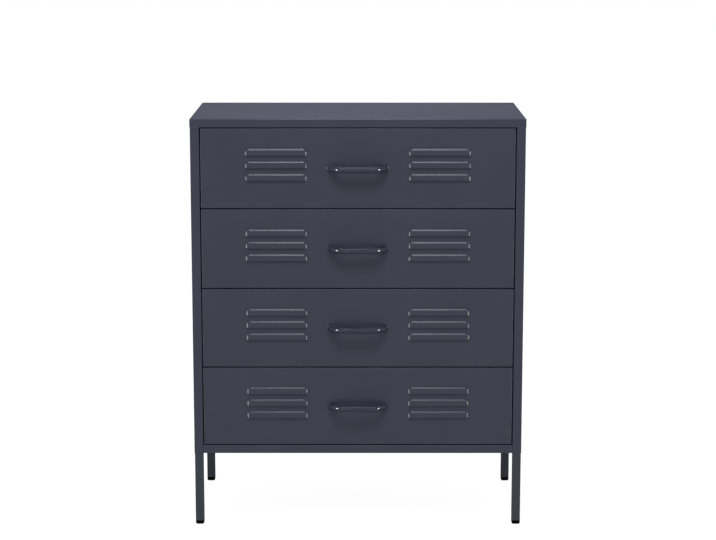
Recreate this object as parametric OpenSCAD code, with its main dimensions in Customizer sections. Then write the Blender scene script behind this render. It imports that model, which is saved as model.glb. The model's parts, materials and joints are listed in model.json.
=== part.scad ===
// Steel chest of four drawers on square legs, with louvred fronts and bow handles.
// The body and the drawers are folded sheet, and the drawers run on telescopic slides.
// Millimetres. X runs across the front, Y from the front to the back, and Z up. The origin is
// on the floor, under the middle of the chest with its handles.

/* [Body] */
// Width over the side lips of the top
body_w = 800; // [600:10:1000]
// Depth from the drawer fronts to the rear lip of the top
body_d = 400; // [390:5:520]
// Height from the floor to the top
total_h = 1000; // [900:10:1200]
// Clear height under the body
leg_h = 181; // [120:1:250]
// Height of the folded lip of the top
lip_h = 20.4; // [16:0.2:30]
// Height of the rail under the bottom drawer
rail_h = 20.2; // [16:0.2:30]
// Width of the front and rear posts
post_w = 22.8; // [20:0.2:32]
// Depth of the inner return of each post
post_return = 40; // [36:1:60]
// Thickness of the sheet steel
sheet = 0.8; // [0.6:0.1:1]
// Outside radius of the folds in the top
top_r = 3; // [1.5:0.5:5]
// Outside radius of the upright folds
fold_r = 2.5; // [1.5:0.5:4]
// Seam left between the rail and the posts
seam = 0.4; // [0.2:0.1:1]

/* [Legs] */
// Length of leg held inside the post
leg_socket = 70; // [40:5:80]
// Wall of the square leg tube
leg_wall = 1.2; // [1:0.1:2]
// Outside corner radius of the leg tube
leg_r = 2; // [1.8:0.1:4]
// Height of the plastic foot that shows below the tube
foot_h = 10; // [6:1:16]
// Radius of the lower edges of the foot
foot_r = 3; // [1:0.5:5]
// Length of the plug on the foot, inside the tube
foot_plug = 22; // [12:1:40]

/* [Drawers] */
// Number of drawers
drawer_count = 4; // [2:1:4]
// Gap around each drawer front
gap = 2.4; // [1.5:0.1:4]
// Depth of the folded drawer front
pan_d = 16; // [12:1:20]
// Outside radius of the folds in the drawer front
front_r = 1.5; // [1.2:0.1:3]
// Height of the drawer box sides
box_h = 150; // [100:5:160]
// Clear depth behind the drawer box
box_clear = 24; // [18:1:40]
// Height of the box bottom above the lower edge of the front
box_lift = 16.5; // [15:0.5:20]
// Width of the folded rim along the top of the box
box_rim = 8; // [5:1:12]

/* [Louvres] */
// Width of one louvre
louvre_w = 147; // [80:1:160]
// Height of one louvre
louvre_h = 15.5; // [12:0.5:22]
// How far a louvre stands proud of the sheet
louvre_out = 5; // [4:0.5:8]
// Radius of the upper corners of a louvre, seen from the front
louvre_corner = 9.5; // [7:0.5:12]
// Length of the sloped brow between a louvre's edge and its face
louvre_brow = 3.2; // [2.4:0.1:3.4]
// Lean of the brow from the straight-out direction
louvre_lean = 58; // [50:1:65]
// Outside radius of the two bends beside the brow
louvre_bend = 1.2; // [1.2:0.1:1.5]
// Distance from one louvre to the next below it
louvre_pitch = 30.1; // [24:0.1:36]
// Number of louvres in a group
louvre_rows = 3; // [1:1:4]
// Centre of a louvre group from the middle of the drawer
louvre_x = 195.4; // [150:0.1:220]
// Top louvre below the upper edge of the front
louvre_drop = 48.2; // [20:0.1:60]

/* [Handles] */
// Distance between the handle's two feet
handle_pitch = 128; // [96:32:160]
// Diameter of the handle bar
bar_d = 16; // [12:0.5:18]
// Distance from the drawer front to the middle of the bar
handle_reach = 27; // [26:0.5:36]
// Lean of the handle's arms from the straight-out direction
arm_lean = 45; // [15:1:50]
// Bend radius where the arm leaves the foot, at the middle of the bar
foot_bend = 12; // [10:0.5:16]
// Bend radius where the arm meets the bar, at the middle of the bar
bar_bend = 14; // [12:0.5:18]
// Diameter of the foot's flange
handle_foot_d = 20; // [18:0.5:24]
// Thickness of the foot's flange
handle_foot_t = 2.5; // [2:0.5:4]

/* [Slides] */
// Thickness of the slide, between the post and the drawer box
slide_t = 12.7; // [12.5:0.1:13]
// Height of the slide's cabinet member
slide_h = 45; // [42:1:46]
// Sheet thickness of the slide members
slide_wall = 1.2; // [1:0.1:1.3]
// Front end of the slide behind the drawer front's face
slide_y = 20; // [18:1:24]
// Clear depth behind the slide
slide_clear = 30; // [26:1:34]
// Middle of the slide above the lower edge of the drawer front
slide_lift = 62; // [50:1:90]

/* [Fasteners] */
// Diameter of the screw heads
head_d = 7; // [6:0.5:8]
// Height of the screw heads
head_h = 2; // [1.5:0.1:2.2]
// Diameter of the screws
screw_d = 4; // [3:0.5:5]
// Length of screw past the last sheet it holds
screw_grip = 3; // [2:0.5:4]
// Length of the handle's screws inside the handle
handle_grip = 8; // [5:1:10]

/* [Hidden] */
$fn = 48;
cut = 1;

side_in = body_w / 2 - sheet;
rear_in = body_d - sheet;
far_in = rear_in - sheet;
body_top = total_h - top_r;
open_x = body_w / 2 - post_w;
open_low = leg_h + rail_h;
open_high = total_h - lip_h;
lip_return = 12;
front_w = 2 * (open_x - gap);
front_h = (open_high - open_low - gap * (drawer_count + 1)) / drawer_count;
front_pitch = front_h + gap;
pan_return_x = 24;
pan_return_z = 12;
front_lap = 8;
box_w = 2 * (open_x - slide_t);
box_d = body_d - pan_d - box_clear;
box_front_h = front_h - box_lift - pan_return_z + front_lap;
rim_drop = 5;
lance = 0.5;
bend_steps = 2;

leg_w = side_in - sheet - open_x - sheet;
leg_near = sheet;
leg_far = far_in - sheet - leg_w;
leg_screw_z = leg_h + rail_h / 2;

bar_half = handle_pitch / 2 - foot_bend * (1 - cos(arm_lean)) - bar_bend * cos(arm_lean);
arm_out = handle_reach - foot_bend * sin(arm_lean) - bar_bend * (1 - sin(arm_lean));
stub_l = handle_foot_t + 0.5;
arm_l = (arm_out - stub_l) / cos(arm_lean);
bar_x = bar_half - arm_l * sin(arm_lean);

slide_l = body_d - slide_y - slide_clear;
race = 3;
slide_lip = 2;
cabinet_t = 9.6;
middle_l = slide_l - 20;
middle_s = slide_wall + head_h + 1;
middle_t = 6.6;
middle_h = slide_h - 2 * (slide_wall + race);
inner_t = 6.1;
inner_h = middle_h - 2 * (slide_wall + race);
slide_screw_ys = [slide_y + 10, slide_y + slide_l - 5];
drawer_screw_ys = [60, body_d - 70];

back_screw_low = leg_h + leg_socket + 20;
back_screw_high = total_h - 40;
back_screw_zs = [for (i = [0:4]) back_screw_low + i * (back_screw_high - back_screw_low) / 4];
back_screw_xs = [-250, 0, 250];
back_screw_l = 2 * sheet + screw_grip;

y_front = -(handle_reach + bar_d / 2);
y_back = rear_in + head_h;
y_mid = (y_front + y_back) / 2;

PAINT = [0.25, 0.26, 0.31];
BLACK = [0.05, 0.05, 0.06];
ZINC = [0.72, 0.73, 0.75];

drawers = [1:drawer_count];

// Lower edge of drawer front n, counted from the top
function front_z(n) = open_high - gap - front_h - (n - 1) * front_pitch;

// Middle of the slides of drawer n
function slide_z(n) = front_z(n) + slide_lift;

// Points of a small bend about its centre, from one angle to another
function arc_points(centre, r, from, to) = [
    for (i = [0:bend_steps])
        let (turn = from + (to - from) * i / bend_steps)
        centre + r * [cos(turn), sin(turn)]
];

// ---- shapes ----

// Rectangle between two corners, with rounded corners
module rounded_rect(low, high, r) {
    translate([low[0] + r, low[1]])
        square([high[0] - low[0] - 2 * r, high[1] - low[1]]);
    translate([low[0], low[1] + r])
        square([high[0] - low[0], high[1] - low[1] - 2 * r]);
    for (x = [low[0] + r, high[0] - r], y = [low[1] + r, high[1] - r])
        translate([x, y]) circle(r);
}

// Upright profile with a flat foot and rounded upper corners
module arch(w, h, r) {
    translate([-w / 2, 0]) square([w, h - r]);
    translate([-w / 2 + r, 0]) square([w - 2 * r, h]);
    for (x = [-w / 2 + r, w / 2 - r])
        translate([x, h - r]) circle(r);
}

// Block with rounded upper edges and rounded upright corners
module soft_block(w, d, h, edge, corner) {
    intersection() {
        linear_extrude(h) rounded_rect([-w / 2, -d / 2], [w / 2, d / 2], corner);
        rotate([90, 0, 0]) linear_extrude(d, center = true) arch(w, h, edge);
        rotate([90, 0, 90]) linear_extrude(w, center = true) arch(d, h, edge);
    }
}

// Folded sheet pan, open below
module pan(w, d, h, edge, corner) {
    difference() {
        soft_block(w, d, h, edge, corner);
        translate([0, 0, -cut])
            soft_block(w - 2 * sheet, d - 2 * sheet, h - sheet + cut, edge - sheet, corner - sheet);
    }
}

// Rolled channel that opens towards +x, with lips at its mouth
module rolled_channel(depth, height) {
    wall = slide_wall;
    difference() {
        rounded_rect([0, -height / 2], [depth, height / 2], wall + 0.4);
        rounded_rect([wall, wall - height / 2], [depth - wall, height / 2 - wall], 0.4);
        translate([depth - wall - cut, wall + slide_lip - height / 2])
            square([wall + 2 * cut, height - 2 * wall - 2 * slide_lip]);
    }
}

// Screw along +z with a domed head above z = 0 and its shank below
module screw(shank) {
    translate([0, 0, -shank]) cylinder(d = screw_d, h = shank);
    cylinder(d = head_d, h = head_h / 2);
    translate([0, 0, head_h / 2])
        cylinder(d1 = head_d, d2 = head_d - head_h, h = head_h / 2);
}

// Moves a part from the chest's own front-left-floor layout to the origin in the middle
module placed() {
    translate([0, -y_mid, 0]) children();
}

// Draws the children on the left, or mirrored to the right
module on_side(right) {
    mirror([right ? 1 : 0, 0, 0]) children();
}

// ---- body ----

module top_panel() {
    color(PAINT) placed() {
        translate([0, body_d / 2, open_high]) pan(body_w, body_d, lip_h, top_r, fold_r);
        translate([-open_x + seam, sheet / 2, open_high])
            cube([2 * (open_x - seam), lip_return, sheet]);
    }
}

// Section of the floor and its rail, from front to back
module floor_section() {
    difference() {
        rounded_rect([0, 0], [far_in, rail_h], fold_r);
        rounded_rect([sheet, sheet], [far_in - sheet, rail_h - sheet], fold_r - sheet);
        translate([lip_return, -cut]) square([far_in, sheet + 2 * cut]);
    }
}

// Wing of the floor at the left, between the posts, with its edge turned down at the side wall
module floor_wing() {
    near = post_return + 1;
    long = far_in - 2 * near;
    lap = 2;
    translate([-side_in + sheet, near, rail_h - sheet])
        cube([side_in - sheet - open_x + lap, long, sheet]);
    translate([-side_in + sheet, near, 0]) cube([sheet, long, rail_h]);
}

module bottom_panel() {
    color(PAINT) placed() translate([0, 0, leg_h]) difference() {
        union() {
            rotate([90, 0, 90])
                linear_extrude(2 * (open_x - seam), center = true) floor_section();
            floor_wing();
            on_side(true) floor_wing();
        }
        for (x = back_screw_xs)
            translate([x, rear_in, rail_h / 2])
                rotate([90, 0, 0]) cylinder(d = screw_d, h = 3 * sheet);
    }
}

// Plan section of the left side: side wall, front and rear faces and their inner returns
module side_section() {
    difference() {
        rounded_rect([-side_in, 0], [-open_x, far_in], fold_r);
        rounded_rect([-side_in + sheet, sheet], [-open_x - sheet, far_in - sheet], fold_r - sheet);
        translate([-open_x - sheet - cut, post_return])
            square([sheet + 2 * cut, far_in - 2 * post_return]);
    }
}

// Hole along x through the inner return of a post, at the left
module return_hole(y, z) {
    translate([-open_x - sheet - cut, y, z])
        rotate([0, 90, 0]) cylinder(d = screw_d, h = sheet + 2 * cut);
}

module side_panel() {
    color(PAINT) placed() difference() {
        translate([0, 0, leg_h]) linear_extrude(body_top - leg_h) side_section();
        translate([-side_in - cut, -cut, open_high])
            cube([post_w + 2 * cut, fold_r + 2 * cut, lip_h]);
        for (n = drawers, y = slide_screw_ys)
            return_hole(y, slide_z(n));
        for (y = [leg_near, leg_far])
            return_hole(y + leg_w / 2, leg_screw_z);
        for (z = back_screw_zs)
            translate([-(open_x + side_in) / 2, rear_in, z])
                rotate([90, 0, 0]) cylinder(d = screw_d, h = 3 * sheet);
    }
}

module left_side_panel() {
    side_panel();
}

module right_side_panel() {
    on_side(true) side_panel();
}

module back_panel() {
    margin = fold_r + 0.3;
    w = 2 * (side_in - margin);
    color(PAINT) placed() difference() {
        translate([-w / 2, far_in, leg_h]) cube([w, sheet, body_top - leg_h]);
        at_back_screws() translate([0, 0, -sheet - cut]) cylinder(d = screw_d, h = sheet + 2 * cut);
    }
}

// Places its children at every back screw, with their +z pointing out of the back
module at_back_screws() {
    for (side = [-1, 1], z = back_screw_zs)
        translate([side * (open_x + side_in) / 2, rear_in, z]) rotate([-90, 0, 0]) children();
    for (x = back_screw_xs)
        translate([x, rear_in, leg_screw_z]) rotate([-90, 0, 0]) children();
}

// Leg tube at the left, its near face at y
module leg(y) {
    x = -side_in + sheet;
    bottom = foot_h;
    color(PAINT) placed() difference() {
        translate([0, 0, bottom]) linear_extrude(leg_h + leg_socket - bottom) difference() {
            rounded_rect([x, y], [x + leg_w, y + leg_w], leg_r);
            rounded_rect([x + leg_wall, y + leg_wall], [x + leg_w - leg_wall, y + leg_w - leg_wall],
                leg_r - leg_wall);
        }
        translate([x + leg_w / 2, y + leg_w / 2, leg_screw_z])
            rotate([0, 90, 0]) cylinder(d = screw_d, h = leg_w);
    }
}

// Foot at the left: a cap below the tube, with a ribbed plug that grips inside it
module foot(y) {
    x = -side_in + sheet + leg_w / 2;
    slack = 0.4;
    plug = leg_w - 2 * leg_wall - slack;
    fin = 1.6;
    color(BLACK) placed() translate([x, y + leg_w / 2, 0]) {
        translate([0, 0, foot_h]) rotate([180, 0, 0]) soft_block(leg_w, leg_w, foot_h, foot_r, leg_r);
        translate([0, 0, foot_h]) linear_extrude(foot_plug) {
            square([plug, fin], center = true);
            square([fin, plug], center = true);
            difference() {
                square(plug - 2 * fin, center = true);
                square(plug - 4 * fin, center = true);
            }
        }
    }
}

module front_left_leg() {
    leg(leg_near);
}

module front_right_leg() {
    on_side(true) leg(leg_near);
}

module rear_left_leg() {
    leg(leg_far);
}

module rear_right_leg() {
    on_side(true) leg(leg_far);
}

module front_left_foot() {
    foot(leg_near);
}

module front_right_foot() {
    on_side(true) foot(leg_near);
}

module rear_left_foot() {
    foot(leg_far);
}

module rear_right_foot() {
    on_side(true) foot(leg_far);
}

// ---- drawers ----

// Section across the pressed edge of a louvre, inset by s: across from the corner's middle,
// and out from the sheet. A sloped brow runs from the bend at the edge to the bend at the face.
module louvre_section(s) {
    face_bend = [louvre_corner - louvre_bend - louvre_brow * sin(louvre_lean), louvre_out - louvre_bend];
    edge_bend = face_bend + louvre_brow * [sin(louvre_lean), -cos(louvre_lean)];
    back = sheet / 2 + 2 * s;
    polygon(concat(
        [[0, -back], [louvre_corner - s, -back]],
        arc_points(edge_bend, louvre_bend - s, 0, louvre_lean),
        arc_points(face_bend, louvre_bend - s, louvre_lean, 90),
        [[0, louvre_out - s]]
    ));
}

// Hood of a louvre, inset by s and carried on below its mouth by drop: top middle at the
// origin, standing out towards -y
module louvre_hood(s, drop) {
    half = louvre_w / 2 - louvre_corner;
    side_h = louvre_h - louvre_corner + drop;
    back = sheet / 2 + 2 * s;
    out = louvre_out - s;
    translate([-half, -out, -louvre_h - drop]) cube([2 * half, out + back, side_h]);
    translate([0, 0, -louvre_corner]) rotate([0, -90, 0]) mirror([0, 1, 0])
        linear_extrude(2 * half, center = true) louvre_section(s);
    for (side = [0, 1]) mirror([side, 0, 0]) {
        translate([half, 0, -louvre_h - drop]) mirror([0, 1, 0])
            linear_extrude(side_h) louvre_section(s);
        translate([half, 0, -louvre_corner]) rotate([90, 0, 0])
            rotate_extrude(angle = 90) louvre_section(s);
    }
}

// Places its children at the top middle of every louvre of a front
module at_louvres() {
    for (x = [-louvre_x, louvre_x], row = [0:louvre_rows - 1])
        translate([x, 0, front_h - louvre_drop - row * louvre_pitch]) children();
}

// Front pan of drawer n, with its louvres and the returns that the box is fixed to
module drawer_front(n) {
    color(PAINT) placed() translate([0, 0, front_z(n)]) difference() {
        union() {
            translate([0, pan_d, front_h / 2]) rotate([90, 0, 0])
                pan(front_w, front_h, pan_d, front_r, front_r);
            translate([0, pan_d, front_h / 2]) rotate([90, 0, 0]) linear_extrude(sheet) difference() {
                square([front_w - sheet, front_h - sheet], center = true);
                square([front_w - 2 * pan_return_x, front_h - 2 * pan_return_z], center = true);
            }
            at_louvres() louvre_hood(0, 0);
        }
        at_louvres() louvre_hood(sheet, lance);
        for (side = [-1, 1])
            translate([side * handle_pitch / 2, sheet + cut, front_h / 2])
                rotate([90, 0, 0]) cylinder(d = screw_d, h = sheet + 2 * cut);
    }
}

// Band along the sides and the rear of the box, from inset to the rim's inner edge
module rim_band(inset) {
    difference() {
        square([box_w - 2 * inset, box_d - 2 * inset], center = true);
        square([box_w - 2 * box_rim, box_d - 2 * box_rim], center = true);
        translate([0, -box_d / 2]) square([box_w - 2 * box_rim, 4 * box_rim], center = true);
    }
}

// Open box of drawer n, with a taller front wall and a folded rim
module drawer_box(n) {
    color(PAINT) placed() translate([0, pan_d + box_d / 2, front_z(n) + box_lift]) difference() {
        union() {
            translate([0, 0, box_h]) rotate([180, 0, 0]) pan(box_w, box_d, box_h, fold_r, front_r);
            translate([-box_w / 2 + front_r, -box_d / 2, box_h / 2])
                cube([box_w - 2 * front_r, sheet, box_front_h - box_h / 2]);
            translate([0, 0, box_h - sheet]) linear_extrude(sheet) rim_band(sheet / 2);
            translate([0, 0, box_h - rim_drop]) linear_extrude(rim_drop) rim_band(box_rim - sheet);
        }
        for (y = drawer_screw_ys)
            translate([0, y - pan_d - box_d / 2, slide_lift - box_lift])
                rotate([0, 90, 0]) cylinder(d = screw_d, h = box_w + 2 * cut, center = true);
    }
}

// Straight length of the handle's bar along +z. It is a hair slimmer than the bends and runs on
// into them, so that they join as one body.
module bar_length(l) {
    seat = 1;
    translate([0, 0, -seat]) cylinder(d = bar_d - 0.1, h = l + 2 * seat);
}

// Bend of the handle's bar in plan, from one angle over another, about the origin
module bar_turn(r, from, over) {
    rotate([0, 0, from]) rotate_extrude(angle = over) translate([r, 0]) circle(d = bar_d);
}

// Right half of the handle, from its foot to the middle of the bar
module handle_half() {
    foot_x = handle_pitch / 2;
    arm_x = foot_x - foot_bend * (1 - cos(arm_lean));
    arm_y = -stub_l - foot_bend * sin(arm_lean);
    translate([foot_x, 0, 0]) rotate([90, 0, 0]) cylinder(d = handle_foot_d, h = handle_foot_t);
    translate([foot_x, -1, 0]) rotate([90, 0, 0]) bar_length(stub_l - 1);
    translate([foot_x - foot_bend, -stub_l, 0]) bar_turn(foot_bend, -arm_lean, arm_lean);
    translate([arm_x, arm_y, 0]) rotate([90, 0, -arm_lean]) bar_length(arm_l);
    translate([bar_x, -handle_reach + bar_bend, 0]) bar_turn(bar_bend, -90, 90 - arm_lean);
    translate([0, -handle_reach, 0]) rotate([0, 90, 0]) bar_length(bar_x);
}

module handle(n) {
    depth = handle_grip + cut;
    color(PAINT) placed() translate([0, 0, front_z(n) + front_h / 2]) difference() {
        union() {
            handle_half();
            mirror([1, 0, 0]) handle_half();
        }
        for (side = [-1, 1])
            translate([side * handle_pitch / 2, cut, 0])
                rotate([90, 0, 0]) cylinder(d = screw_d, h = depth + cut);
    }
}

module handle_screws(n) {
    color(ZINC) placed() for (side = [-1, 1])
        translate([side * handle_pitch / 2, sheet, front_z(n) + front_h / 2])
            rotate([-90, 0, 0]) screw(handle_grip + sheet);
}

module drawer_screws(n) {
    color(ZINC) placed() for (right = [false, true], y = drawer_screw_ys)
        on_side(right) translate([-box_w / 2 - slide_wall, y, slide_z(n)])
            rotate([0, -90, 0]) screw(slide_wall + sheet + screw_grip);
}

// ---- slides ----

// Slide section run from y for a length, on the left, at the height of drawer n
module slide_member(n, y, l) {
    color(ZINC) placed() translate([-open_x, y + l, slide_z(n)])
        rotate([90, 0, 0]) linear_extrude(l) children();
}

module cabinet_slide(n) {
    difference() {
        slide_member(n, slide_y, slide_l) rolled_channel(cabinet_t, slide_h);
        placed() for (y = slide_screw_ys)
            translate([-open_x - cut, y, slide_z(n)])
                rotate([0, 90, 0]) cylinder(d = screw_d, h = slide_wall + 2 * cut);
    }
}

module middle_slide(n) {
    slide_member(n, slide_y, middle_l)
        translate([middle_s, 0]) rolled_channel(middle_t, middle_h);
}

module drawer_slide(n) {
    difference() {
        slide_member(n, slide_y - 2, slide_l)
            translate([slide_t, 0]) mirror([1, 0]) rolled_channel(inner_t, inner_h);
        placed() for (y = drawer_screw_ys)
            translate([-box_w / 2 - slide_wall - cut, y, slide_z(n)])
                rotate([0, 90, 0]) cylinder(d = screw_d, h = slide_wall + 2 * cut);
    }
}

// ---- fasteners of the body ----

module back_screws() {
    color(ZINC) placed() at_back_screws() screw(back_screw_l);
}

module leg_screws() {
    color(ZINC) placed() for (right = [false, true], y = [leg_near, leg_far])
        on_side(right) translate([-open_x, y + leg_w / 2, leg_screw_z])
            rotate([0, 90, 0]) screw(sheet + leg_wall + screw_grip);
}

module slide_screws() {
    color(ZINC) placed() for (right = [false, true], n = drawers, y = slide_screw_ys)
        on_side(right) translate([-open_x + slide_wall, y, slide_z(n)])
            rotate([0, 90, 0]) screw(slide_wall + sheet + screw_grip);
}

// ---- what is drawn ----

top_panel();
bottom_panel();
left_side_panel();
right_side_panel();
back_panel();
front_left_leg();
front_right_leg();
rear_left_leg();
rear_right_leg();
front_left_foot();
front_right_foot();
rear_left_foot();
rear_right_foot();
back_screws();
leg_screws();
slide_screws();
for (n = drawers) {
    drawer_front(n);
    drawer_box(n);
    handle(n);
    handle_screws(n);
    drawer_screws(n);
    cabinet_slide(n);
    on_side(true) cabinet_slide(n);
    middle_slide(n);
    on_side(true) middle_slide(n);
    drawer_slide(n);
    on_side(true) drawer_slide(n);
}
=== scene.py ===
import json
import math

import bmesh
import bpy
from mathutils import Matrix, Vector


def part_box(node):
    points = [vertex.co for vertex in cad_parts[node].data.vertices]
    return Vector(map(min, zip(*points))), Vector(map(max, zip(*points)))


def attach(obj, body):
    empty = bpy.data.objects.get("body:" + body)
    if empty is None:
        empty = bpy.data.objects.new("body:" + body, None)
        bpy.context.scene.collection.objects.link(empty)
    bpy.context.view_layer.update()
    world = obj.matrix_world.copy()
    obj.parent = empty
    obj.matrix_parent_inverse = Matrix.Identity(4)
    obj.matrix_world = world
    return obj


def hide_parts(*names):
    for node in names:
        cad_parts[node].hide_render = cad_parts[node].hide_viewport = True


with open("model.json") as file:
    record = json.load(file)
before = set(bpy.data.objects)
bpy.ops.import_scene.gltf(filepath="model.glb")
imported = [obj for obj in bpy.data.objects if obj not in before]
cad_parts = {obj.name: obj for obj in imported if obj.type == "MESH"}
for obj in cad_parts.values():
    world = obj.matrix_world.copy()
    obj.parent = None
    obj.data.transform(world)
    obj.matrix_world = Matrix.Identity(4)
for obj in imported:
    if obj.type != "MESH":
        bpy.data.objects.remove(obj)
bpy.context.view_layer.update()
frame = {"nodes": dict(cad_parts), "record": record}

MM = 0.001


# ---- sizes of the chest in millimetres: what the frame gives, and what is chosen here ----

def span(node, axis):
    """Lowest and highest place of a node along x, y or z (0, 1 or 2)."""
    low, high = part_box(node)
    return round(low[axis] / MM, 1), round(high[axis] / MM, 1)


DRAWERS = (1, 2, 3, 4)
SIDES = (-1, 1)
SHEET = 0.8
FOLD_R = 1.5
LIP_RETURN = 12

FRONT_PLANE, REAR_EDGE = span("top_panel", 1)
OPEN_HIGH, TOP_Z = span("top_panel", 2)
TOP_HALF = span("top_panel", 0)[1]
BODY_D = REAR_EDGE - FRONT_PLANE
FAR_IN = span("bottom_panel", 1)[1] - FRONT_PLANE
REAR_IN = FAR_IN + SHEET
SIDE_IN, OPEN_X = [-place for place in span("left_side_panel", 0)]
RAIL_LOW, FLOOR_TOP = span("bottom_panel", 2)
RAIL_MIDDLE = (RAIL_LOW + FLOOR_TOP) / 2
RAIL_SCREW_XS = (-250, 0, 250)

LEG_LOW, LEG_TOP = span("front_left_leg", 2)
LEG_FAR_X, LEG_NEAR_X = [-place for place in span("front_left_leg", 0)]
LEG_W = LEG_FAR_X - LEG_NEAR_X
LEG_X = (LEG_FAR_X + LEG_NEAR_X) / 2
LEG_YS = {"front": SHEET + LEG_W / 2, "rear": FAR_IN - SHEET - LEG_W / 2}
PLUG_TOP = span("front_left_foot", 2)[1]

FRONT_HALF = span("drawer_front_1", 0)[1]
FRONT_Z = [span(f"drawer_front_{n}", 2)[0] for n in DRAWERS]
FRONT_HIGH = span("drawer_front_1", 2)[1]
FRONT_H = FRONT_HIGH - FRONT_Z[0]
PAN_D = span("drawer_front_1", 1)[1] - FRONT_PLANE
RETURN_X = 24
RETURN_Z = 12

LOUVRE_W = 147
LOUVRE_H = 15.5
LOUVRE_OUT = 5
LOUVRE_CORNER = 9.5
LOUVRE_X = 195.4
LOUVRE_DROP = 48.2
LOUVRE_PITCH = 30.1
LOUVRE_ROWS = 3

HANDLE_X = 64
HANDLE_Z = FRONT_Z[0] + FRONT_H / 2

SLIDE_Z = sum(span("left_cabinet_slide_1", 2)) / 2
SLIDE_WALL = 1.2
SLIDE_IN = -span("left_drawer_slide_1", 0)[1]
SLIDE_SCREW_YS = (30, 365)
DRAWER_SCREW_YS = (60, 330)

HEAD_R = 3.5
HEAD_H = 2
BACK_SHANK = 4.6
SIDE_SHANK = 5
HANDLE_SHANK = 8.8

FRONT_Y = FRONT_PLANE * MM


def at(x, y, z):
    """A point in metres from millimetres, with y counted back from the plane of the drawer fronts."""
    return (x * MM, y * MM + FRONT_Y, z * MM)


def drop_to(n):
    """Shift from the top drawer to drawer n."""
    return (0, 0, (FRONT_Z[n - 1] - FRONT_Z[0]) * MM)


# ---- working by hand: picking pieces, faces and edges ----

def let_go():
    """Leaves nothing selected."""
    for piece in bpy.context.selected_objects:
        piece.select_set(False)


def take(piece):
    """Makes one piece the only one selected, and the active one."""
    let_go()
    piece.select_set(True)
    bpy.context.view_layer.objects.active = piece


def scrap(piece):
    bpy.data.objects.remove(piece)


def settle(name):
    """Names the active piece and applies its place, turn and size to its mesh."""
    piece = bpy.context.active_object
    piece.name = piece.data.name = name
    take(piece)
    bpy.ops.object.transform_apply(location=True, rotation=True, scale=True)
    return piece


def block(name, low, high):
    """A box between two corners, in place."""
    let_go()
    middle = [(a + b) / 2 for a, b in zip(low, high)]
    bpy.ops.mesh.primitive_cube_add(size=1, location=middle, scale=[b - a for a, b in zip(low, high)])
    return settle(name)


def blank(name, middle, width, length, turn=(0, 0, 0)):
    """A flat rectangle about a point, its width and length in millimetres."""
    let_go()
    bpy.ops.mesh.primitive_plane_add(size=1, location=middle, rotation=turn)
    bpy.context.active_object.scale = (width * MM, length * MM, 1)
    return settle(name)


def edit(piece):
    take(piece)
    bpy.ops.object.mode_set(mode="EDIT")


def done():
    bpy.ops.object.mode_set(mode="OBJECT")


def pick_all():
    bpy.ops.mesh.select_all(action="SELECT")


def pick(piece, kind, test):
    """In edit mode, selects the faces or edges that pass a test."""
    bpy.ops.mesh.select_mode(type=kind)
    bpy.ops.mesh.select_all(action="DESELECT")
    net = bmesh.from_edit_mesh(piece.data)
    for part in net.faces if kind == "FACE" else net.edges:
        if test(part):
            part.select_set(True)
    bmesh.update_edit_mesh(piece.data)


def pick_faces(piece, test):
    """Selects the faces whose normal passes a test."""
    pick(piece, "FACE", lambda face: test(face.normal))


def pick_edges(piece, test):
    """Selects the edges whose two ends pass a test."""
    pick(piece, "EDGE", lambda edge: test(edge.verts[0].co, edge.verts[1].co))


def near(a, b):
    return abs(a - b) < 0.02 * MM


def both_at(axis, place):
    """Test for edges with both ends at one place along x, y or z (0, 1 or 2), in metres."""
    return lambda a, b: near(a[axis], place) and near(b[axis], place)


def round_off(radius, steps):
    """Bevels the selected edges to a radius in millimetres."""
    bpy.ops.mesh.bevel(offset=radius * MM, offset_type="OFFSET", segments=steps, profile=0.5,
                       affect="EDGES", clamp_overlap=True)


def round_corners(radius, steps):
    """Rounds the corners of the selected flat to a radius in millimetres."""
    bpy.ops.mesh.bevel(offset=radius * MM, affect="VERTICES", segments=steps, profile=0.5)


def push(x, y, z):
    """Extrudes what is selected by a shift in millimetres."""
    bpy.ops.mesh.extrude_region_move(TRANSFORM_OT_translate={"value": (x * MM, y * MM, z * MM)})


def scale_about(centre, factors):
    bpy.ops.transform.resize(value=factors, center_override=centre)


def face_outwards(piece):
    """Joins doubled points and turns every face outwards."""
    edit(piece)
    pick_all()
    bpy.ops.mesh.remove_doubles(threshold=0.01 * MM)
    pick_all()
    bpy.ops.mesh.normals_make_consistent(inside=False)
    done()


def finish_with(piece, kind, **settings):
    """Adds a modifier and applies it."""
    take(piece)
    step = piece.modifiers.new(kind.lower(), kind)
    for name, value in settings.items():
        setattr(step, name, value)
    bpy.ops.object.modifier_apply(modifier=step.name)


def give_thickness(piece, wall, offset=-1):
    """Thickens a skin by a wall in millimetres: inwards, or to both sides with offset 0."""
    finish_with(piece, "SOLIDIFY", thickness=wall * MM, offset=offset, use_even_offset=True, use_rim=True)


def cut_away(piece, cutter):
    """Cuts the shape of a cutter out of a piece and scraps the cutter."""
    finish_with(piece, "BOOLEAN", operation="DIFFERENCE", solver="EXACT", object=cutter)
    scrap(cutter)


def copy_of(piece, name, shift=(0, 0, 0), turn=(0, 0, 0)):
    """A copy with a mesh of its own, turned about the origin and then moved by a shift."""
    take(piece)
    bpy.ops.object.duplicate(linked=False)
    twin = bpy.context.active_object
    twin.rotation_euler = turn
    twin.location = shift
    return settle(name)


def merge(pieces, name):
    """Joins pieces into one."""
    take(pieces[0])
    for piece in pieces[1:]:
        piece.select_set(True)
    bpy.ops.object.join()
    return settle(name)


def smooth(piece, degrees=35):
    take(piece)
    bpy.ops.object.shade_smooth_by_angle(angle=math.radians(degrees))


def dress(piece, finish, body, slot, *nodes):
    """Gives a finished piece its material, hangs it on the body it rides on, and hides the CAD nodes it
    takes the place of.
    """
    piece.data.materials.clear()
    piece.data.materials.append(finish)
    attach(piece, body)
    if nodes:
        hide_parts(*nodes)


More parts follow.
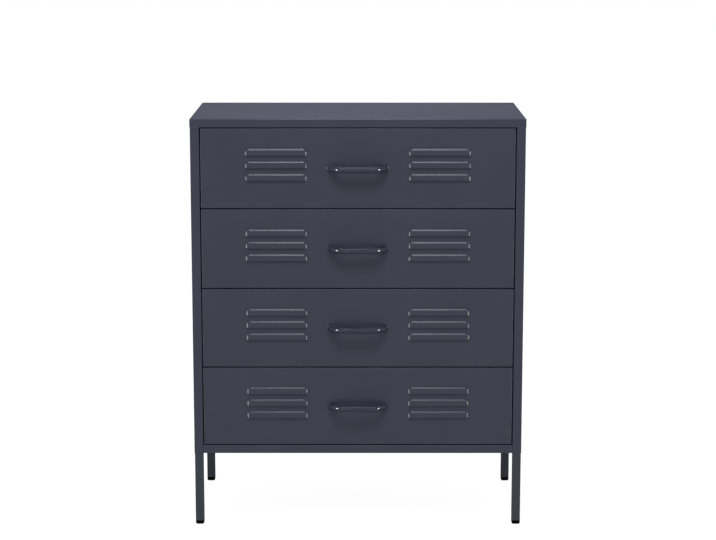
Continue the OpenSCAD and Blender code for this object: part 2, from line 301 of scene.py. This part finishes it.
def one_each_drawer(first, name, finish, body, slot, *nodes):
    """Copies a piece of the top drawer to all four, dresses the copies and scraps the first."""
    for n in DRAWERS:
        piece = copy_of(first, f"{name}_{n}", drop_to(n))
        dress(piece, finish, f"{body}_{n}", slot, *[f"{node}_{n}" for node in nodes])
    scrap(first)


# ---- finishes ----

class Finish:
    """A material under construction: its nodes, its links and its shader."""

    def __init__(self, name):
        self.material = bpy.data.materials.new(name)
        self.material.use_nodes = True
        self.tree = self.material.node_tree
        self.shader = self.tree.nodes["Principled BSDF"]
        self.place = self.tree.nodes.new("ShaderNodeTexCoord").outputs["Object"]

    def node(self, kind, **sockets):
        made = self.tree.nodes.new("ShaderNode" + kind)
        for name, value in sockets.items():
            made.inputs[name.replace("_", " ")].default_value = value
        return made

    def join(self, out, into):
        self.tree.links.new(out, into)

    def drive(self, socket, out):
        """Links a value, a colour or a normal to a socket of the shader."""
        self.join(out, self.shader.inputs[socket])

    def fix(self, socket, value):
        self.shader.inputs[socket].default_value = value

    def reckon(self, kind, operation, *values):
        """Results of a math node on these values."""
        made = self.node(kind)
        made.operation = operation
        for value, into in zip(values, made.inputs):
            self.join(value, into)
        return made.outputs

    def noise(self, scale, detail=2.0, roughness=0.5, stretch=None):
        """Value of a noise with this many cells to the metre, stretched if asked."""
        made = self.node("TexNoise", Scale=scale, Detail=detail, Roughness=roughness)
        place = self.place
        if stretch:
            turn = self.node("Mapping", Scale=stretch)
            self.join(place, turn.inputs["Vector"])
            place = turn.outputs["Vector"]
        self.join(place, made.inputs["Vector"])
        return made.outputs["Fac"]

    def spread(self, value, low, high, start=0.3, end=0.7):
        """Maps a value between start and end onto the range from low to high."""
        made = self.node("MapRange", From_Min=start, From_Max=end, To_Min=low, To_Max=high)
        self.join(value, made.inputs["Value"])
        return made.outputs["Result"]

    def tint(self, value, first, second):
        """Blends two colours by a value."""
        made = self.tree.nodes.new("ShaderNodeMix")
        made.data_type = "RGBA"
        for name, colour in (("A", first), ("B", second)):
            into = next(socket for socket in made.inputs if socket.name == name and socket.type == "RGBA")
            if isinstance(colour, tuple):
                into.default_value = (*colour, 1)
            else:
                self.join(colour, into)
        self.join(value, made.inputs["Factor"])
        return next(socket for socket in made.outputs if socket.type == "RGBA")

    def edge_wear(self):
        """Value from 0 to 1: patches along the sharp edges, where a coat rubs thin."""
        rounded = self.node("Bevel", Radius=0.7 * MM)
        rounded.samples = 6
        flat = self.node("NewGeometry").outputs["Normal"]
        turn = self.reckon("VectorMath", "DOT_PRODUCT", rounded.outputs["Normal"], flat)["Value"]
        edge = self.spread(turn, 0.7, 0, 0.8, 0.97)
        patches = self.spread(self.noise(55, 4.0, 0.65), 0, 1, 0.42, 0.62)
        return self.reckon("Math", "MULTIPLY", edge, patches)[0]

    def ends_painted_dark(self):
        """Value from 0 to 1: the faces that look along y, which take a painted shade, so that the slides'
        ends show dark in the gaps between drawers.
        """
        axes = self.node("SeparateXYZ")
        self.join(self.node("NewGeometry").outputs["Normal"], axes.inputs[0])
        return self.spread(self.reckon("Math", "ABSOLUTE", axes.outputs["Y"])[0], 0, 1, 0.9, 0.97)

    def relief(self, value, height, under=None):
        """Raises the surface by a value, to a height in millimetres."""
        made = self.node("Bump", Strength=1.0, Distance=height * MM)
        self.join(value, made.inputs["Height"])
        if under:
            self.join(under, made.inputs["Normal"])
        return made.outputs["Normal"]


def shade(colour, factor):
    return tuple(channel * factor for channel in colour)


def powder_coat(name, colour, rough, grain, gloss):
    """Baked powder coat: fine grain over a soft orange peel. It is glossier face on than at a slant."""
    coat = Finish(name)
    slant_gloss = 0.13
    cloud = coat.spread(coat.noise(7, 3.0), 0, 1)
    paint = coat.tint(cloud, shade(colour, 0.95), shade(colour, 1.05))
    coat.drive("Base Color", coat.tint(coat.edge_wear(), paint, shade(colour, 1.5)))
    haze = coat.noise(40, 4.0, 0.6)
    coat.drive("Roughness", coat.spread(haze, rough - 0.04, rough + 0.04))
    peel = coat.relief(coat.noise(420, 1.0), 0.012)
    speck = coat.relief(coat.noise(2600, 1.0), grain, peel)
    coat.drive("Normal", speck)
    coat.drive("Coat Normal", speck)
    coat.fix("Specular IOR Level", 0.0)
    coat.fix("Coat Roughness", rough)
    slant = coat.node("LayerWeight", Blend=0.5).outputs["Facing"]
    coat.drive("Coat Weight", coat.spread(slant, gloss, slant_gloss, 0.3, 0.75))
    return coat.material


def bright_zinc(name, colour, stretch=None, end_shade_colour=None):
    """Zinc plate on rolled steel with drawing marks. Faces that look along y take a dark colour, if given:
    painted shade where the slides' ends show in the gaps between drawers.
    """
    zinc = Finish(name)
    zinc.fix("Metallic", 1.0)
    plate = zinc.tint(zinc.spread(zinc.noise(90), 0, 1), shade(colour, 0.82), colour)
    # painted shade: faces that look along y take the near-black colour
    if end_shade_colour:
        plate = zinc.tint(zinc.ends_painted_dark(), plate, end_shade_colour)
    zinc.drive("Base Color", plate)
    streak = zinc.noise(900, 3.0, 0.6, stretch)
    zinc.drive("Roughness", zinc.spread(streak, 0.26, 0.42))
    zinc.drive("Normal", zinc.relief(streak, 0.004))
    return zinc.material


def moulded_plastic(name, colour, rough):
    """Black moulded plastic with a fine spark-eroded grain."""
    plastic = Finish(name)
    scuff = plastic.spread(plastic.noise(260, 4.0, 0.7), 0, 1, 0.5, 0.8)
    plastic.drive("Base Color", plastic.tint(scuff, colour, shade(colour, 1.3)))
    plastic.drive("Roughness", plastic.spread(plastic.noise(120), rough - 0.06, rough + 0.06))
    plastic.drive("Normal", plastic.relief(plastic.noise(3200, 1.0), 0.02))
    plastic.fix("Specular IOR Level", 0.02)
    return plastic.material


SLATE = (0.0340, 0.0370, 0.0580)
# painted light: the legs' slate is lighter and greyer than the body's, standing in for the light the white
# floor throws on them
LEG_SLATE_FLOOR_LIT = (0.0355, 0.0420, 0.0545)
# painted shade: the handles' slate is darker than the body's, standing in for less light on the bars
HANDLE_SLATE_SHADED = (0.0268, 0.0292, 0.0445)
SLIDE_ZINC = (0.62, 0.63, 0.65)
SCREW_ZINC = (0.60, 0.61, 0.63)
# painted shade: near black on the slides' faces that look along y, so they show dark in the gaps between
# drawers
SLIDE_END_SHADE = (0.035, 0.035, 0.040)
FOOT_BLACK = (0.0014, 0.0014, 0.0018)
ALONG_Y = (1, 0.02, 1)

slate_coat = powder_coat("slate_powder_coat", SLATE, rough=0.28, grain=0.006, gloss=0.35)
# painted light: a lighter, greyer copy of the slate coat for the legs
leg_coat_painted_floor_light = powder_coat("slate_coat_on_legs_painted_floor_light", LEG_SLATE_FLOOR_LIT, rough=0.30, grain=0.006, gloss=0.3)
# painted shade: a darker copy of the slate coat for the handles
handle_coat = powder_coat("slate_coat_on_handles_painted_shade", HANDLE_SLATE_SHADED, rough=0.24, grain=0.004, gloss=0.10)
slide_zinc = bright_zinc("zinc_on_slides", SLIDE_ZINC, ALONG_Y, SLIDE_END_SHADE)
screw_zinc = bright_zinc("zinc_on_screws", SCREW_ZINC)
foot_plastic = moulded_plastic("black_foot_plastic", FOOT_BLACK, rough=0.5)

FINISH_OF_SLOT = {
    "powder_coat": slate_coat,
    "handle_coat": handle_coat,
    "zinc_slide": slide_zinc,
    "zinc_screw": screw_zinc,
    "foot_plastic": foot_plastic,
}


def finish_cad_nodes():
    """Gives the CAD's own pieces the finish of their slot, and the legs a lighter, greyer copy of the
    slate coat: painted light from the white floor.
    """
    for subpart in frame["record"]["subparts"]:
        name = subpart["node"]
        finish = leg_coat_painted_floor_light if name.endswith("_leg") else FINISH_OF_SLOT[subpart["material_slot"]]
        for slot in frame["nodes"][name].material_slots:
            slot.material = finish


# ---- drawer fronts ----

def louvre_opening(top):
    """Cutter for the slot behind a louvre, its top edge at a height, in the middle of the front."""
    half, below_mouth, before, behind = LOUVRE_W / 2 - SHEET, 0.4, 1, 2
    low, high = top - LOUVRE_H - below_mouth, top - SHEET
    cutter = block("slot_cutter", at(-half, -before, low), at(half, behind, high))
    edit(cutter)
    at_top = both_at(2, high * MM)
    pick_edges(cutter, lambda a, b: at_top(a, b) and near(a.x, b.x))
    round_off(LOUVRE_CORNER - SHEET, 6)
    done()
    return cutter


def bend(inward, out, radius, start, end, steps):
    """Points of a bend about a centre, as distances inward from the rim and out of the sheet."""
    turns = [start + (end - start) * step / steps for step in range(steps + 1)]
    return [(inward - radius * math.cos(turn), out + radius * math.sin(turn)) for turn in turns]


def pressed_louvre(top):
    """Hood of one louvre: a flare out of the sheet, a sloped brow between two small bends and an open
    mouth below."""
    flare, bend_r, brow, slope = 0.8, 1.2, 3.2, math.radians(58)
    across, up = brow * math.sin(slope), brow * math.cos(slope)
    rise = bend(0, flare, flare, -math.pi / 2, -math.pi, 3)[1:]
    rise += bend(flare + bend_r, LOUVRE_OUT - bend_r - up, bend_r, 0, slope, 4)
    rise += bend(flare + bend_r + across, LOUVRE_OUT - bend_r, bend_r, slope, math.pi / 2, 3)
    mouth = top - LOUVRE_H
    hood = blank("louvre", at(0, 0.02, mouth), LOUVRE_W + 2 * flare, 2 * (LOUVRE_H + flare),
                 turn=(math.pi / 2, 0, 0))
    edit(hood)
    pick_all()
    round_corners(LOUVRE_CORNER + flare, 8)
    pick_faces(hood, lambda normal: True)
    before_in, before_out = 0, 0
    for inward, out in rise:
        bpy.ops.mesh.inset(thickness=(inward - before_in) * MM, depth=(out - before_out) * MM,
                           use_even_offset=True)
        before_in, before_out = inward, out
    pick_all()
    bpy.ops.mesh.bisect(plane_co=at(0, 0, mouth), plane_no=(0, 0, 1), clear_inner=True)
    done()
    give_thickness(hood, SHEET)
    return hood


def folded_pan(low, high):
    """Pan of a drawer front from its lower to its upper edge, with a return on all four sides."""
    half, half_h, middle = FRONT_HALF, (high - low) / 2, (low + high) / 2
    pan = block("drawer_front", at(-half, 0, low), at(half, PAN_D, high))
    edit(pan)
    pick_faces(pan, lambda normal: normal.y > 0.9)
    bpy.ops.mesh.delete(type="ONLY_FACE")
    pick_edges(pan, both_at(1, at(0, PAN_D, 0)[1]))
    push(0, 0, 0)
    scale_about(at(0, PAN_D, middle), ((half - RETURN_X) / half, 1, (half_h - RETURN_Z) / half_h))

    def outer(point):
        far_x = abs(point.x) > (half - RETURN_X / 2) * MM
        return far_x and abs(point.z - middle * MM) > (half_h - RETURN_Z / 2) * MM

    pick_edges(pan, lambda a, b: outer(a) and outer(b))
    round_off(FOLD_R, 4)
    done()
    give_thickness(pan, SHEET)
    return pan


def louvred_front(low, high):
    """Drawer front from its lower to its upper edge, with two groups of louvres and their slots."""
    pan = folded_pan(low, high)
    first_top = high - LOUVRE_DROP
    places = [(side * LOUVRE_X * MM, 0, -row * LOUVRE_PITCH * MM)
              for side in SIDES for row in range(LOUVRE_ROWS)]
    cutter = louvre_opening(first_top)
    cut_away(pan, merge([copy_of(cutter, "slot", place) for place in places], "slot_cutters"))
    scrap(cutter)
    louvre = pressed_louvre(first_top)
    front = merge([pan] + [copy_of(louvre, "louvre_copy", place) for place in places], "drawer_front")
    scrap(louvre)
    smooth(front)
    return front


one_each_drawer(louvred_front(FRONT_Z[0], FRONT_HIGH),
                "louvred_front", slate_coat, "drawer", "powder_coat", "drawer_front")


# ---- handles ----

def bow_handle(height):
    """Bow handle at a height: one round foot, arm and half bar drawn by extruding and spinning a ring,
    then mirrored."""
    reach, foot_r, bar_r, stub = 27, 10, 8, 3.2
    lean, foot_bend, bar_bend = math.radians(45), 12, 14
    collar = [(1.6, foot_r), (2.2, 9.7), (2.5, 9.1), (2.6, 8.6), (2.8, 8.2), (stub, bar_r)]
    let_go()
    bpy.ops.mesh.primitive_circle_add(vertices=32, radius=foot_r * MM, location=at(HANDLE_X, 0, height),
                                      rotation=(math.pi / 2, 0, 0), fill_type="NGON")
    bar = settle("handle")
    edit(bar)
    pick_edges(bar, lambda a, b: True)
    out, radius = 0, foot_r
    for next_out, next_r in collar:
        push(0, out - next_out, 0)
        scale_about(at(HANDLE_X, -next_out, height), (next_r / radius, 1, next_r / radius))
        out, radius = next_out, next_r
    bpy.ops.mesh.spin(steps=8, angle=lean, center=at(HANDLE_X - foot_bend, -stub, height), axis=(0, 0, 1))
    arm_out = reach - foot_bend * math.sin(lean) - bar_bend * (1 - math.sin(lean)) - stub
    arm_across = arm_out * math.tan(lean)
    push(-arm_across, -arm_out, 0)
    bar_x = HANDLE_X - foot_bend * (1 - math.cos(lean)) - arm_across - bar_bend * math.cos(lean)
    bpy.ops.mesh.spin(steps=14, angle=math.pi / 2 - lean, center=at(bar_x, bar_bend - reach, height),
                      axis=(0, 0, 1))
    push(-bar_x, 0, 0)
    pick_all()
    bpy.ops.mesh.remove_doubles(threshold=0.01 * MM)
    done()
    finish_with(bar, "MIRROR", use_axis=(True, False, False), use_mirror_merge=True,
                merge_threshold=0.05 * MM)
    face_outwards(bar)
    smooth(bar)
    return bar


one_each_drawer(bow_handle(HANDLE_Z), "bow_handle", handle_coat, "drawer", "handle_coat", "handle")


# ---- top ----

def folded_top():
    """Top: a sheet folded down all round, with a return along its front edge."""
    corner_r, edge_r = 2.5, 3.0
    top = block("folded_top", at(-TOP_HALF, 0, OPEN_HIGH), at(TOP_HALF, BODY_D, TOP_Z))
    edit(top)
    pick_faces(top, lambda normal: normal.z < -0.9)
    bpy.ops.mesh.delete(type="ONLY_FACE")
    pick_edges(top, lambda a, b: not near(a.z, b.z))
    round_off(corner_r, 5)
    pick_edges(top, both_at(2, TOP_Z * MM))
    round_off(edge_r, 6)
    at_lip, in_front = both_at(2, OPEN_HIGH * MM), both_at(1, FRONT_Y)
    pick_edges(top, lambda a, b: at_lip(a, b) and in_front(a, b))
    push(0, LIP_RETURN, 0)
    done()
    give_thickness(top, SHEET)
    smooth(top)
    return top


dress(folded_top(), slate_coat, "cabinet", "powder_coat", "top_panel")


# ---- floor ----

def floor_rails(end):
    """Skin of the floor between its ends: folded down in front and behind, with a return in front."""
    floor = block("folded_floor", at(-end, 0, RAIL_LOW), at(end, FAR_IN, FLOOR_TOP))
    at_foot, at_top = both_at(2, RAIL_LOW * MM), both_at(2, FLOOR_TOP * MM)
    in_front, behind = both_at(1, FRONT_Y), both_at(1, at(0, FAR_IN, 0)[1])
    edit(floor)
    pick_faces(floor, lambda normal: normal.z < -0.9 or abs(normal.x) > 0.9)
    bpy.ops.mesh.delete(type="FACE")
    pick_edges(floor, lambda a, b: at_foot(a, b) and in_front(a, b))
    push(0, LIP_RETURN, 0)
    pick_edges(floor, lambda a, b: near(a.z, b.z) and (in_front(a, b) or behind(a, b) and at_top(a, b)))
    round_off(FOLD_R, 4)
    done()
    return floor


def floor_wing(side, end):
    """Skin of the floor's wing from an end to the side wall, where it is folded down."""
    inset, wing_fold_r = 41, 1.0
    low_x, high_x = sorted((side * end, side * (SIDE_IN - SHEET)))
    wing = block("floor_wing", at(low_x, inset, RAIL_LOW), at(high_x, FAR_IN - inset, FLOOR_TOP))
    at_top, at_wall = both_at(2, FLOOR_TOP * MM), both_at(0, side * (SIDE_IN - SHEET) * MM)
    edit(wing)
    pick_faces(wing, lambda normal: normal.z < 0.9 and normal.x * side < 0.9)
    bpy.ops.mesh.delete(type="FACE")
    pick_edges(wing, lambda a, b: at_top(a, b) and at_wall(a, b))
    round_off(wing_fold_r, 3)
    done()
    return wing


def screw_hole(x):
    """Cutter for a screw hole in the rear rail."""
    hole_r, depth = 2.05, 4
    let_go()
    bpy.ops.mesh.primitive_cylinder_add(vertices=20, radius=hole_r * MM, depth=depth * MM,
                                        location=at(x, FAR_IN, RAIL_MIDDLE), rotation=(math.pi / 2, 0, 0))
    return settle("screw_hole")


def folded_floor():
    """Floor with its rails, a wing to each side wall and three screw holes behind."""
    end = OPEN_X - 0.02
    floor = merge([floor_rails(end)] + [floor_wing(side, end) for side in SIDES], "folded_floor")
    give_thickness(floor, SHEET)
    for x in RAIL_SCREW_XS:
        cut_away(floor, screw_hole(x))
    smooth(floor)
    return floor


dress(folded_floor(), slate_coat, "cabinet", "powder_coat", "bottom_panel")


# ---- feet ----

def moulded_foot(name, x, y):
    """Foot under a leg: a cap with rounded lower edges, and a ribbed plug that grips inside the tube."""
    edge_r, corner_r, steps, rib, tube_wall = 4.6, 2, 6, 0.8, 1.4
    half, plug = LEG_W / 2, LEG_W / 2 - tube_wall
    cap = blank("foot_cap", at(x, y, LEG_LOW), LEG_W, LEG_W)
    edit(cap)
    pick_all()
    round_corners(corner_r, 4)
    pick_faces(cap, lambda normal: True)
    push(0, 0, edge_r - LEG_LOW)
    low, wide = edge_r, half
    for inward, out in bend(edge_r, 0, edge_r, 0, math.pi / 2, steps)[1:]:
        next_low, next_wide = edge_r - out, half - inward
        push(0, 0, next_low - low)
        scale_about(at(x, y, next_low), (next_wide / wide, next_wide / wide, 1))
        low, wide = next_low, next_wide
    done()
    face_outwards(cap)
    ribs = [block("rib", at(x - across, y - along, LEG_LOW - 1), at(x + across, y + along, PLUG_TOP))
            for across, along in ((plug, rib), (rib, plug))]
    foot = merge([cap] + ribs, name)
    smooth(foot)
    return foot


for row, y in LEG_YS.items():
    for side, x in (("left", -LEG_X), ("right", LEG_X)):
        foot = moulded_foot(f"rounded_{row}_{side}_foot", x, y)
        dress(foot, foot_plastic, "cabinet", "foot_plastic", f"{row}_{side}_foot")


# ---- screws ----

def screw_head():
    """Pan head along +z, its underside at the origin: a rounded disc with a cross recess."""
    let_go()
    bpy.ops.mesh.primitive_cylinder_add(vertices=24, radius=HEAD_R * MM, depth=HEAD_H * MM,
                                        location=(0, 0, HEAD_H / 2 * MM))
    head = settle("screw_head")
    rounding, recess = 1.2, 1.2
    edit(head)
    pick_edges(head, both_at(2, HEAD_H * MM))
    round_off(rounding, 4)
    done()
    wing, reach, taper = 0.45 * MM, 1.9 * MM, 0.55
    recess_low, over = (HEAD_H - recess) * MM, (HEAD_H + 1) * MM
    for across, along in ((wing, reach), (reach, wing)):
        cutter = block("recess_cutter", (-across, -along, recess_low), (across, along, over))
        edit(cutter)
        pick_faces(cutter, lambda normal: normal.z < -0.9)
        scale_about((0, 0, recess_low), (taper, taper, 1))
        done()
        cut_away(head, cutter)
    return head


def screw_thread(shank):
    """Threaded shank from the origin down, one ridge drawn as an edge and wound into a helix."""
    crest, root, pitch = 2.0, 1.62, 0.7
    turns = int(shank / pitch)
    ridge = blank("screw_thread", (root * MM, 0, -turns * pitch * MM), 1, 1)
    edit(ridge)
    bpy.ops.mesh.select_mode(type="VERT")
    pick_all()
    bpy.ops.mesh.merge(type="CENTER")
    push(crest - root, 0, pitch / 2)
    push(root - crest, 0, pitch / 2)
    done()
    finish_with(ridge, "SCREW", axis="Z", angle=2 * math.pi, screw_offset=pitch * MM, iterations=turns - 1,
                steps=14, render_steps=14, use_merge_vertices=True, merge_threshold=0.01 * MM)
    edit(ridge)
    pick_all()
    bpy.ops.mesh.remove_doubles(threshold=0.01 * MM)
    bpy.ops.mesh.fill_holes(sides=0)
    done()
    face_outwards(ridge)
    return ridge


TO_REAR = (-math.pi / 2, 0, 0)
TO_SIDE = {-1: (0, -math.pi / 2, 0), 1: (0, math.pi / 2, 0)}


def screw_group(name, node, body, shank, places):
    """One piece of screws of one shank length, each turned one way and set at a place."""
    first = merge([screw_head(), screw_thread(shank)], "screw")
    smooth(first, 40)
    screws = [copy_of(first, "screw_copy", place, turn) for turn, place in places]
    scrap(first)
    dress(merge(screws, name), screw_zinc, body, "zinc_screw", node)


def body_screws():
    """Screws through the back, through the posts into the legs, and through the body's slides."""
    low, high, spaces = LEG_TOP + 20, TOP_Z - 40, 4
    heights = [low + step * (high - low) / spaces for step in range(spaces + 1)]
    post_x = (OPEN_X + SIDE_IN) / 2
    posts = [(side * post_x, z) for side in SIDES for z in heights]
    rail = [(x, RAIL_MIDDLE) for x in RAIL_SCREW_XS]
    screw_group("cross_head_back_screws", "back_screws", "cabinet", BACK_SHANK,
                [(TO_REAR, at(x, REAR_IN, z)) for x, z in posts + rail])
    screw_group("cross_head_leg_screws", "leg_screws", "cabinet", SIDE_SHANK,
                [(TO_SIDE[-side], at(side * OPEN_X, y, RAIL_MIDDLE))
                 for side in SIDES for y in LEG_YS.values()])
    slide_x, lift = OPEN_X - SLIDE_WALL, SLIDE_Z - FRONT_Z[0]
    screw_group("cross_head_slide_screws", "slide_screws", "cabinet", SIDE_SHANK,
                [(TO_SIDE[-side], at(side * slide_x, y, front_z + lift))
                 for side in SIDES for front_z in FRONT_Z for y in SLIDE_SCREW_YS])


def drawer_screws(n):
    """Screws of one drawer: through its front into the handle, and through its slides into the box."""
    drop = FRONT_Z[n - 1] - FRONT_Z[0]
    slide_x = SLIDE_IN + SLIDE_WALL
    screw_group(f"cross_head_handle_screws_{n}", f"handle_screws_{n}", f"drawer_{n}", HANDLE_SHANK,
                [(TO_REAR, at(side * HANDLE_X, SHEET, HANDLE_Z + drop)) for side in SIDES])
    screw_group(f"cross_head_drawer_screws_{n}", f"drawer_screws_{n}", f"drawer_{n}", SIDE_SHANK,
                [(TO_SIDE[side], at(side * slide_x, y, SLIDE_Z + drop))
                 for side in SIDES for y in DRAWER_SCREW_YS])


body_screws()
for n in DRAWERS:
    drawer_screws(n)


# ---- ball cages of the slides ----

def ball_cage(web_x, ball_x, ball_z, near_y, far_y):
    """Cage of the top drawer's left slide: a strip folded round two rows of balls. Its x counts from the
    post, its y from the plane of the drawer fronts, and ball_z from the middle of the slide."""
    strip, lip_short, ball_r, step = 0.4, 0.2, 1.48, 10
    web = web_x - OPEN_X
    cage = blank("ball_cage", at(web, (near_y + far_y) / 2, SLIDE_Z), 2 * ball_z, far_y - near_y,
                 turn=(0, math.pi / 2, 0))
    edit(cage)
    pick_edges(cage, lambda a, b: near(a.z, b.z))
    push(ball_x + ball_r - lip_short - web_x, 0, 0)
    on_web = both_at(0, web * MM)
    pick_edges(cage, lambda a, b: near(a.z, b.z) and on_web(a, b))
    round_off(0.8, 3)
    done()
    face_outwards(cage)
    give_thickness(cage, strip, offset=0)
    let_go()
    bpy.ops.mesh.primitive_uv_sphere_add(segments=10, ring_count=6, radius=ball_r * MM,
                                         location=at(ball_x - OPEN_X, near_y + step / 2, SLIDE_Z + ball_z))
    balls = settle("balls")
    finish_with(balls, "ARRAY", count=int((far_y - near_y) / step), use_relative_offset=False,
                use_constant_offset=True, constant_offset_displace=(0, step * MM, 0))
    lower = copy_of(balls, "lower_balls", (0, 0, -2 * ball_z * MM))
    return merge([cage, balls, lower], "ball_cage")


def slide_cages():
    """The outer and the inner cage of the top drawer's left slide, and their mirror in the right one."""
    outer = ball_cage(web_x=3.7, ball_x=6.2, ball_z=19.8, near_y=200, far_y=340)
    inner = ball_cage(web_x=6.0, ball_x=7.9, ball_z=15.6, near_y=30, far_y=170)
    cages = merge([outer, inner], "cages")
    finish_with(cages, "MIRROR", use_axis=(True, False, False), use_mirror_merge=False)
    edit(cages)
    pick_all()
    bpy.ops.mesh.normals_make_consistent(inside=False)
    done()
    smooth(cages, 50)
    return cages


one_each_drawer(slide_cages(), "ball_cages", screw_zinc, "slide_middles", "zinc_slide")


# ---- the studio, in metres ----

def white_to_the_eye(tree, lit, white, out):
    """Shows the plain white to camera, glossy and transmission rays, and the other shader to the rest."""
    path = tree.nodes.new("ShaderNodeLightPath")
    seen = path.outputs["Is Camera Ray"]
    for ray in ("Is Glossy Ray", "Is Transmission Ray"):
        either = tree.nodes.new("ShaderNodeMath")
        either.operation = "ADD"
        either.use_clamp = True
        tree.links.new(seen, either.inputs[0])
        tree.links.new(path.outputs[ray], either.inputs[1])
        seen = either.outputs[0]
    mix = tree.nodes.new("ShaderNodeMixShader")
    for source, into in zip((seen, lit, white), mix.inputs):
        tree.links.new(source, into)
    tree.links.new(mix.outputs[0], out)


def build_world(level):
    """Even light from all round, seen as white."""
    world = bpy.data.worlds.new("studio_air")
    bpy.context.scene.world = world
    world.use_nodes = True
    tree = world.node_tree
    room = tree.nodes["Background"]
    white = tree.nodes.new("ShaderNodeBackground")
    for air, strength in ((room, level), (white, 1.0)):
        air.inputs["Color"].default_value = (1, 1, 1, 1)
        air.inputs["Strength"].default_value = strength
    white_to_the_eye(tree, room.outputs[0], white.outputs[0], tree.nodes["World Output"].inputs["Surface"])


def build_floor():
    """Pale floor that lights the chest from below. Seen directly it is near white and keeps a faint
    shadow."""
    let_go()
    bpy.ops.mesh.primitive_plane_add(size=40, location=(0, 0, 0))
    floor = bpy.context.active_object
    floor.name = "studio_floor"
    paint = bpy.data.materials.new("white_floor_paint")
    paint.use_nodes = True
    tree = paint.node_tree
    tree.nodes.remove(tree.nodes["Principled BSDF"])
    ground = tree.nodes.new("ShaderNodeBsdfDiffuse")
    ground.inputs["Color"].default_value = (0.9, 0.9, 0.9, 1)
    faint = tree.nodes.new("ShaderNodeBsdfDiffuse")
    faint.inputs["Color"].default_value = (0.16, 0.16, 0.16, 1)
    glow = tree.nodes.new("ShaderNodeEmission")
    glow.inputs["Strength"].default_value = 0.95
    seen = tree.nodes.new("ShaderNodeAddShader")
    tree.links.new(faint.outputs[0], seen.inputs[0])
    tree.links.new(glow.outputs[0], seen.inputs[1])
    white_to_the_eye(tree, ground.outputs[0], seen.outputs[0],
                     tree.nodes["Material Output"].inputs["Surface"])
    floor.data.materials.append(paint)


def soft_lamp(name, place, aim, size, watts, gloss_only=False, shown_on=None):
    """A soft box: a wide lamp at a place, turned to face what it lights. It may show in gloss alone,
    and on the pieces of one collection alone, which then alone shade its light."""
    lamp = bpy.data.lights.new(name, "AREA")
    lamp.shape = "RECTANGLE"
    lamp.size, lamp.size_y = size
    lamp.energy = watts
    stand = bpy.data.objects.new(name, lamp)
    bpy.context.collection.objects.link(stand)
    stand.location = place
    stand.rotation_euler = (Vector(aim) - Vector(place)).to_track_quat("-Z", "Y").to_euler()
    stand.visible_camera = False
    stand.visible_diffuse = not gloss_only
    if shown_on:
        stand.light_linking.receiver_collection = shown_on
        stand.light_linking.blocker_collection = shown_on


def group(name, piece_name):
    """A collection of one kind of piece from all four drawers."""
    made = bpy.data.collections.new(name)
    for n in DRAWERS:
        made.objects.link(bpy.data.objects[f"{piece_name}_{n}"])
    return made


def build_lamps():
    """A key lamp in front, one over the top, a fill under the handles, and at each side a tall strip for
    the ends of the louvres and a small lamp for the ends of the handles."""
    fronts, handles = group("fronts", "louvred_front"), group("handles", "bow_handle")
    soft_lamp("key_box", (0.0, -2.3, 3.9), (0, 0, 0.6), (1.6, 0.9), 96)
    soft_lamp("top_box", (0.0, -0.1, 1.75), (0, 0, 1.0), (0.5, 0.3), 5.3)
    soft_lamp("handle_fill", (0.0, -2.2, 0.15), (0, -0.2, 0.65), (2.0, 0.25), 16, shown_on=handles)
    for name, side, strip_watts, sparkle_watts in (("left", -1, 150, 1950), ("right", 1, 135, 2000)):
        soft_lamp(f"{name}_strip", (side * 3.1, -1.6, 0.3), (0, -0.19, 0.3), (0.4, 2.4), strip_watts,
                  gloss_only=True, shown_on=fronts)
        soft_lamp(f"{name}_sparkle", (side * 3.0, -1.9, 1.0), (0, -0.2, 0.9), (0.6, 0.6), sparkle_watts,
                  gloss_only=True, shown_on=handles)


def build_camera():
    """The photo's camera, fitted to the corners, gaps and leg ends that show in it."""
    tilt, turn = math.radians(10.365), math.radians(0.040)
    lens_px, photo_px = 1991.2, 716
    off_centre, away, height = 0.0036, 4.7048, 1.4965
    eye = bpy.data.cameras.new("photo_camera")
    eye.sensor_width = 36.0
    eye.lens = lens_px * eye.sensor_width / photo_px
    camera = bpy.data.objects.new("photo_camera", eye)
    bpy.context.collection.objects.link(camera)
    camera.location = (off_centre, FRONT_Y - away, height)
    camera.rotation_euler = (math.pi / 2 - tilt, 0, turn)
    bpy.context.scene.camera = camera


finish_cad_nodes()
bpy.context.scene.view_settings.view_transform = "Standard"
build_world(0.6)
build_floor()
build_lamps()
build_camera()
